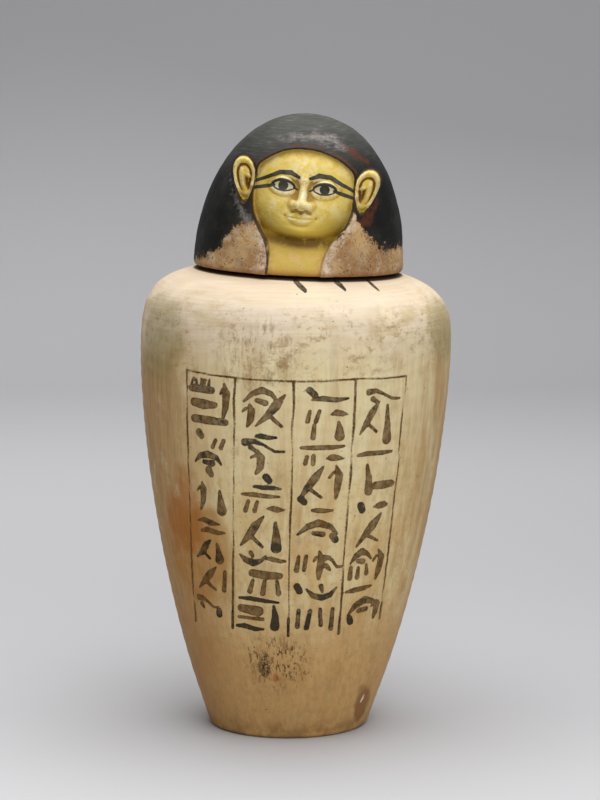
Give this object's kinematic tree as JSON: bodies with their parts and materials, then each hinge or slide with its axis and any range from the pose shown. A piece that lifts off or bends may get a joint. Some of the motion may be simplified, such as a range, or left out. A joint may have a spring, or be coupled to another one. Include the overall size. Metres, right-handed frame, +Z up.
{
  "type": "canopic jar",
  "caption": "Painted pottery canopic jar: a hollow, high-shouldered vessel with a lift-off lid modelled as a human head in a plain wig.",
  "frame": {"origin": "middle of the flat underside, at the level the jar stands on", "axes": "+Z up along the jar, -Y towards the side that the head on the lid faces, +X to that viewer's right"},
  "size_m": [0.1892, 0.1898, 0.3745],
  "materials": {
    "painted_jar": "matt cream slip over tan pottery, with brown and black painted strokes and stains",
    "painted_lid": "worn matt black paint on the wig, yellow paint on the face, neck and ears, bare tan pottery at the lower front"
  },
  "bodies": {
    "root": {"jar": "painted_jar", "lid": "painted_lid"}
  },
  "joints": []
}
